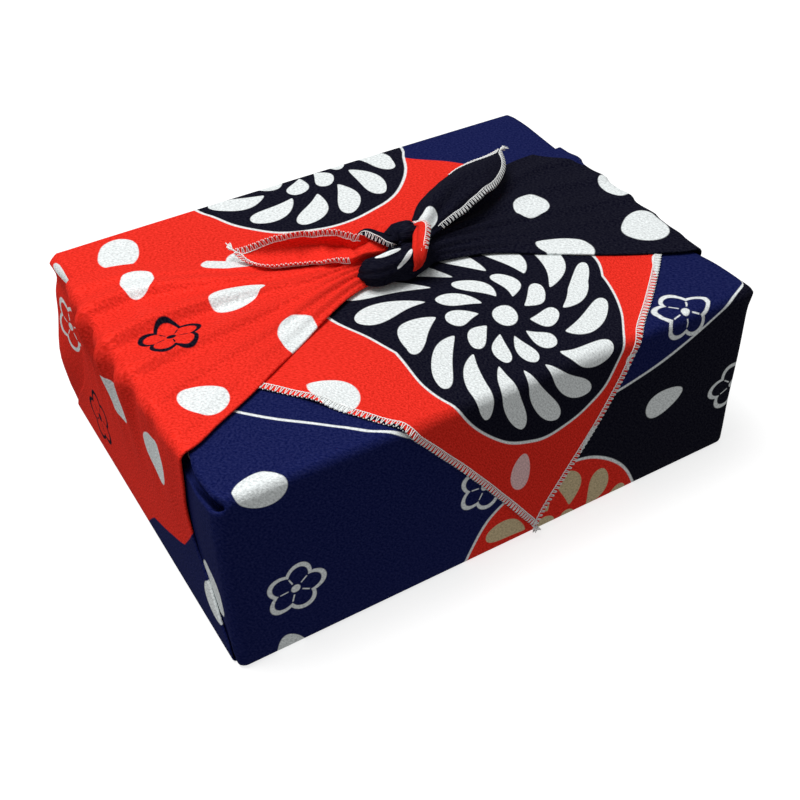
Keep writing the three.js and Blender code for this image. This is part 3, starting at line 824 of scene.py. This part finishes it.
def tuft(yarn, tip, way, seed, size=1.0):
    """The ends of the threads at a corner: short loose curls."""
    rng = np.random.default_rng(seed)
    for _ in range(34):
        aim_way = unit(np.array(way) + rng.normal(0, 0.6, 3))
        bend = rng.normal(0, 1, 3)
        long = rng.uniform(1.8, 4.6) * size
        t = np.linspace(0, 1, 9)[:, None]
        curl = np.sin(t * rng.uniform(2, 4.5)) * unit(bend) * long * 0.35
        line = np.array(tip) + aim_way * long * t + curl * t
        line[:, 2] = np.maximum(line[:, 2], 0.6)
        yarn.lay(line, YARN * 1.1)


def row_by(strip, x, y):
    """The row of a strand whose middle lies nearest to a place, as seen from above."""
    middle = strip[:, strip.shape[1] // 2, :2]
    return int(np.argmin(np.linalg.norm(middle - (x, y), axis=1)))


def show(name, data):
    """A new object, put in the scene."""
    thing = bpy.data.objects.new(name, data)
    bpy.context.collection.objects.link(thing)
    return thing


cloth, hanging, navy_strand, red_strand = shell()
wrap = show("wrap_cloth_sheet", cloth.mesh("wrap_cloth_sheet"))
solid = wrap.modifiers.new("thickness", "SOLIDIFY")
solid.thickness = GAUGE * MM
solid.offset = 0

yarn = Yarn()
tip = overlock(yarn, hanging, first=True)
overlock(yarn, hanging, first=False)
tuft(yarn, tip, (0.0, -0.5, 0.5), 1, 0.65)

overlock(yarn, navy_strand, first=False, start=row_by(navy_strand, -9, 18),
         stop=row_by(navy_strand, 3.5, 3.5))
for strip, root, first_root, seed in ((navy_strand, (25, 10), (60, 29), 2),
                                      (red_strand, (-8, 9), (-18, 10), 3)):
    tip = overlock(yarn, strip, first=False, start=row_by(strip, *root))
    overlock(yarn, strip, first=True, start=row_by(strip, *first_root))
    tuft(yarn, tip, strip[-1, 0] - strip[-4, 0], seed)
overlock(yarn, red_strand, first=False, start=row_by(red_strand, 8, -12.5),
         stop=row_by(red_strand, 15, 7))
stitches = show("overlock_stitches", yarn.mesh("overlock_stitches"))


# ---------- the print ----------
def new_material(name):
    material = bpy.data.materials.new(name)
    material.use_nodes = True
    return material, material.node_tree


def feed(tree, node, inputs):
    """Gives a node's inputs what they read: a Value, another node's output, or a constant."""
    for slot, value in inputs.items():
        value = value.socket if isinstance(value, Value) else value
        if isinstance(value, bpy.types.NodeSocket):
            tree.links.new(value, node.inputs[slot])
        else:
            node.inputs[slot].default_value = value


def add_node(tree, kind, inputs, **settings):
    """A shader node with its settings and inputs, each input by its name or number."""
    node = tree.nodes.new("ShaderNode" + kind)
    for name, value in settings.items():
        setattr(node, name, value)
    feed(tree, node, inputs)
    return node


def noise(tree, place, scale=1.0, detail=2.0, rough=0.5):
    """Noise at a place in space, about 0 to 1."""
    inputs = {"Vector": place, "Scale": scale, "Detail": detail, "Roughness": rough}
    return add_node(tree, "TexNoise", inputs).outputs["Fac"]


def blend(tree, share, one, other, way="MIX"):
    """Two colours blended: the other over the first, or multiplied or added on."""
    inputs = {"Factor": share, 6: one, 7: other}
    return add_node(tree, "Mix", inputs, data_type="RGBA", blend_type=way).outputs[2]


def finish(tree, inputs):
    """What a material's surface is like."""
    feed(tree, tree.nodes["Principled BSDF"], inputs)


def bump(tree, height, strength, deep):
    """Relief from a height, its depth in millimetres."""
    inputs = {"Height": height, "Strength": strength, "Distance": deep * MM}
    return add_node(tree, "Bump", inputs).outputs[0]


class Value:
    """A number worked out inside a material, with ordinary arithmetic."""

    def __init__(self, socket):
        self.socket = socket

    def run(self, operation, *others, clamp=False):
        node = add_node(self.socket.node.id_data, "Math", dict(enumerate((self, *others))),
                        operation=operation, use_clamp=clamp)
        return Value(node.outputs[0])

    def __add__(self, other):
        return self.run("ADD", other)

    def __sub__(self, other):
        return self.run("SUBTRACT", other)

    def __mul__(self, other):
        return self.run("MULTIPLY", other)

    def __truediv__(self, other):
        return self.run("DIVIDE", other)

    def __rsub__(self, other):
        return (self * -1.0) + other

    def size(self):
        return self.run("ABSOLUTE")

    def least(self, other):
        return self.run("MINIMUM", other)

    def most(self, other):
        return self.run("MAXIMUM", other)

    def sine(self):
        return self.run("SINE")

    def share(self):
        """This, kept between 0 and 1."""
        return self.run("MULTIPLY", 1.0, clamp=True)

    def within(self, soft=0.5):
        """1 where this is below nought and 0 above it, over a soft edge."""
        return (0.5 - self / soft).share()


def length(x, y):
    return (x * x + y * y).run("SQRT")


class Print:
    """Flat colours painted one over another on a material's cloth coordinates, in
    millimetres from the middle of the square: p and q along its sides, across along +X and
    back along +Y. The last two wander a little, so no printed line is quite true."""

    def __init__(self, tree, ground):
        self.tree = tree
        place = add_node(tree, "UVMap", {}, uv_map="flat_cloth").outputs[0]
        split = add_node(tree, "SeparateXYZ", {0: place})
        self.p = (Value(split.outputs[0]) - 0.5) * CUT
        self.q = (Value(split.outputs[1]) - 0.5) * CUT
        blur_p, blur_q = self.unsteady(0.02, 5.0, 1), self.unsteady(0.02, 5.0, 2)
        self.across = (self.p - self.q + blur_p) / 2**0.5
        self.back = (self.p + self.q + blur_q) / 2**0.5
        self.colour = (*ground, 1)

    def vector(self, x, y, z=0.0):
        return add_node(self.tree, "CombineXYZ", {0: x, 1: y, 2: z}).outputs[0]

    def unsteady(self, fine, size, seed):
        """Slow noise on the cloth, this many waves a millimetre and up to this size."""
        place = self.vector(self.p * fine, self.q * fine, seed * 7.3)
        return (Value(noise(self.tree, place, detail=1.0)) - 0.5) * (2 * size)

    def paint(self, mask, colour):
        colour = (*colour, 1) if isinstance(colour, tuple) else colour
        self.colour = blend(self.tree, mask, self.colour, colour)


RED, NAVY, NIGHT = (0.81, 0.031, 0.019), (0.0100, 0.0140, 0.078), (0.0085, 0.0085, 0.017)
WHITE, CREAM = (0.80, 0.84, 0.84), (0.62, 0.50, 0.30)
FLOWERS = [
    dict(across=12, back=358, size=78, petals=15, swirl=0.9, ground=NIGHT, petal=WHITE),
    dict(across=2, back=188, size=62, petals=13, swirl=-0.8, ground=NIGHT, petal=WHITE),
    dict(across=28, back=-86, size=52, petals=12, swirl=0.7, ground=RED, petal=CREAM),
]
# Eggs on the part that the knot gathers: where each lies, its half sizes and its lean.
KNOT_EGGS = [
    dict(across=434, back=7, long=6.5, wide=14, lean=0),
    dict(across=370, back=-13, long=1.3, wide=11, lean=-0.26),
    dict(across=373.8, back=5.5, long=3.8, wide=3.4, lean=0),
]
# An egg's half length and half width, and a blossom's least radius and what its lobes add.
EGG, BLOSSOM = (13.5, 9.8), (9.5, 4.2)
EGGS, FILLED = 0.6, 0.85                # shares of the cells with an egg, and with either
PEBBLES = (0.75, 1.05)                  # of the weave, to a millimetre each way
SHADE, GLINT = 1.2, 0.032               # how far a pebble darkens or lightens the ink, and the white it adds as a painted glint
# Where no egg or blossom goes: near a colour block's edge, near a flower, past this distance
# across, where the knot begins, and round the near flap's two corners.
EDGE_ROOM, FLOWER_ROOM, SCATTER_REACH = 15, 18, 340
BARE = dict(across=150, back=-185, size=22)


def flower(design, across, back, size, petals, swirl, ground, petal):
    """A chrysanthemum: a rimmed disc with two rings of petals round a dot. The angle about
    its middle, turned further the further out, is cut into equal parts, and each part holds
    one petal: a drop whose width is a sine of the way along it, fuller towards its end."""
    x, y = design.across - across, design.back - back
    far = length(x, y)
    design.paint((far - (size + 1.5)).within(), WHITE)
    design.paint((far - size).within(), ground)
    angle = y.run("ARCTAN2", x) + far * (swirl / size)
    for count, inner, outer, fat, turn in ((petals, 0.5, 0.92, 0.40, 0.0),
                                           (petals * 2 // 3, 0.2, 0.45, 0.42, 0.4)):
        part = (angle * (count / (2 * np.pi)) + turn).run("FRACT")
        off = (part - 0.5).size()
        along = ((far - inner * size) / ((outer - inner) * size)).share()
        room = (along * np.pi).sine().run("POWER", 0.6) * (along * 0.5 + 0.6) * fat
        shape = ((off - room) * far * (2 * np.pi / count)).most(far - outer * size)
        design.paint(shape.most(inner * size - far).within(), petal)
    design.paint((far - 0.1 * size).within(), petal)


def grounds(across, back):
    """The colour blocks at a place on the cloth: how far it is from the red, from the
    darkest blue and from the arch that edges it, less than nought where it is inside. The
    red ends on a shallow parabola along one diagonal, the darkest blue on a line along it
    and on the arch, a parabola; slow sines and two ramps bend the first two."""
    p, q = (across + back) / 2**0.5, (back - across) / 2**0.5
    bend = (p / 55 + 0.6).sine() * 8 + (p / 23).sine() * 4
    bend = bend - (p / -40 - 3).share() * 14
    red = (p * p * 0.0003 + 98 + bend) - q
    arch = (across - 35) * (across - 35) * 0.0034 + back + 168
    shore = (p / 60).sine() * 12 + (p / 80 - 1).share() * 18
    dark = (q + 130 + shore).most(0.0 - arch)
    return red, dark, arch


def scatter(design, spacing, start):
    """White eggs and small blossoms, one to a cell of an uneven net, each turned its own
    way. An egg is an oval, blunter at one end. A blossom is a line with five lobes, the
    humps of a sine round its middle, with a dot and five stamens. Half of those on the red
    are navy."""
    across, back = design.across / spacing + start, design.back / spacing
    net = {"Vector": design.vector(across, back), "Scale": 1.0, "Randomness": 0.4}
    net = add_node(design.tree, "TexVoronoi", net, voronoi_dimensions="2D")
    middle = add_node(design.tree, "SeparateXYZ", {0: net.outputs["Position"]})
    middle_across, middle_back = Value(middle.outputs[0]), Value(middle.outputs[1])
    chance = add_node(design.tree, "SeparateColor", {0: net.outputs["Color"]})
    spin, bulk, kind = (Value(slot) for slot in chance.outputs[:3])
    x, y = (across - middle_across) * spacing, (back - middle_back) * spacing
    middle_across, middle_back = (middle_across - start) * spacing, middle_back * spacing
    red, _, arch = grounds(middle_across, middle_back)
    clear = (red.size() - EDGE_ROOM).least(arch.size() - EDGE_ROOM)
    clear = clear.least(SCATTER_REACH - middle_across.size())
    for row in FLOWERS:
        far = length(middle_across - row["across"], middle_back - row["back"])
        clear = clear.least(far - (row["size"] + FLOWER_ROOM))
    corner = length(middle_across.size() - BARE["across"], middle_back - BARE["back"])
    clear = clear.least(corner - BARE["size"])
    keep = (0.0 - clear).within(1.0)
    angle = spin * 6.28
    cosine, sine = angle.run("COSINE"), angle.sine()
    x, y = x * cosine + y * sine, y * cosine - x * sine
    big = bulk * 0.3 + 0.8
    egg = length(x / EGG[0], y / (x * 0.2 + EGG[1])) / big
    eggs = (kind - EGGS).within(0.002)
    design.paint(((egg - 1) * 10).within() * keep * eggs, WHITE)
    far, round_it = length(x, y), y.run("ARCTAN2", x)
    edge = (round_it * 2.5).sine().size() * BLOSSOM[1] + BLOSSOM[0]
    line = (far - edge).size() - 1.2
    stamen = ((round_it * 2.5).sine().size() * far - 0.9).most(far - 7.5).most(3.6 - far)
    blossom = line.least(far - 2.2).least(stamen).within()
    dark = red.within() * (bulk - 0.5).within(0.01)
    ink = blend(design.tree, dark, (*WHITE, 1), (*NIGHT, 1))
    filled = (kind - FILLED).within(0.002)
    design.paint(blossom * keep * filled * (1 - eggs), ink)


def crepe(name):
    """The printed crepe: colour blocks, flowers, eggs and blossoms. The weave's pebbles are
    a fine noise that stands up as relief and darkens or lightens the ink at random, and on
    the raised pebbles a little white is added to the colour as a painted highlight, a glint."""
    material, tree = new_material(name)
    design = Print(tree, NAVY)
    red, dark, arch = grounds(design.across, design.back)
    design.paint(dark.within(), NIGHT)
    design.paint((arch.size() - 0.8).most(design.q - 40).within(), WHITE)
    design.paint(red.within(), RED)
    for row in FLOWERS:
        flower(design, **row)
    scatter(design, spacing=50.0, start=3.37)
    across, back = (design.p - design.q) / 2**0.5, (design.p + design.q) / 2**0.5
    for egg in KNOT_EGGS:
        y = back - egg["back"]
        off = length((across - egg["across"] - y * egg["lean"]) / egg["long"], y / egg["wide"])
        design.paint(((off - 1) * 8).within(), WHITE)

    place = design.vector(design.p * PEBBLES[0], design.q * PEBBLES[1])
    grain = Value(noise(tree, place, rough=0.6))
    shade = (grain - 0.5) * SHADE + design.unsteady(0.006, 0.1, 5) + 1
    tone = blend(tree, 1.0, design.colour, design.vector(shade, shade, shade), "MULTIPLY")
    # Painted glints: white added to the colour on the raised pebbles stands in for highlights on
    # the weave.
    glint = ((grain - 0.5) * GLINT).most(-0.004)
    painted_glint_colour = blend(tree, 1.0, tone, design.vector(glint, glint, glint), "ADD")
    # Dull, with a slight sheen of the cloth's own colour.
    finish(tree, {"Base Color": painted_glint_colour, "Normal": bump(tree, grain, 1.0, 0.35),
                  "Roughness": 0.45, "Metallic": 0.12, "Specular IOR Level": 0.0})
    return material


def thread(name):
    """Soft white thread: its tone wanders along it and its fibres stand up a little."""
    material, tree = new_material(name)
    place = add_node(tree, "TexCoord", {}).outputs["Object"]
    fibre = noise(tree, place, scale=2200)
    tone = add_node(tree, "ValToRGB", {"Fac": fibre})
    for stop, at, grey in zip(tone.color_ramp.elements, (0.3, 0.55), (0.72, 0.93)):
        stop.position, stop.color = at, (grey, grey + 0.01, grey, 1)
    finish(tree, {"Base Color": tone.outputs["Color"], "Normal": bump(tree, fibre, 0.4, 0.1),
                  "Roughness": 0.75})
    return material


stitches.data.materials.append(thread("thread"))
wrap.data.materials.append(crepe("printed_crepe"))

# ---------- setting ----------
def aim(azimuth, elevation, roll):
    """A turn that looks along +Y at azimuth 0, down by the elevation, in degrees."""
    turn = Matrix.Rotation(np.radians(azimuth), 4, "Z") @ Matrix.Rotation(
        np.radians(90 - elevation), 4, "X")
    return turn @ Matrix.Rotation(np.radians(roll), 4, "Z")


lens = bpy.data.cameras.new("camera")
lens.lens = 54.81
lens.sensor_width = 36
camera = show("camera", lens)
camera.matrix_world = Matrix.Translation((-0.2437, -0.42747, 0.44259)) @ aim(
    azimuth=-30.14, elevation=41.06, roll=-0.675)
bpy.context.scene.camera = camera
bpy.context.scene.view_settings.view_transform = "Standard"

floor_mesh = bpy.data.meshes.new("floor")
floor_mesh.from_pydata([(-3, -3, 0), (3, -3, 0), (3, 3, 0), (-3, 3, 0)], [], [(0, 1, 2, 3)])
floor = show("floor", floor_mesh)
pale, tree = new_material("pale_floor")
finish(tree, {"Base Color": (0.4, 0.4, 0.4, 1), "Roughness": 0.8,
              "Emission Color": (1, 1, 1, 1), "Emission Strength": 0.75})
floor_mesh.materials.append(pale)
floor.visible_diffuse = False
floor.visible_glossy = False

world = bpy.data.worlds.new("studio")
world.use_nodes = True
world.node_tree.nodes["Background"].inputs["Color"].default_value = (1, 1, 1, 1)
world.node_tree.nodes["Background"].inputs["Strength"].default_value = 0.31
bpy.context.scene.world = world

key = bpy.data.lights.new("key", "AREA")
key.size, key.energy = 1.1, 38
lamp, stand = show("key", key), Vector((-0.45, 0.42, 2.0))
way = Vector((0, 0, 0.05)) - stand
lamp.matrix_world = Matrix.Translation(stand) @ way.to_track_quat("-Z", "Y").to_matrix().to_4x4()

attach(stitches, "root")
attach(wrap, "root")
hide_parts("wrap_cloth")
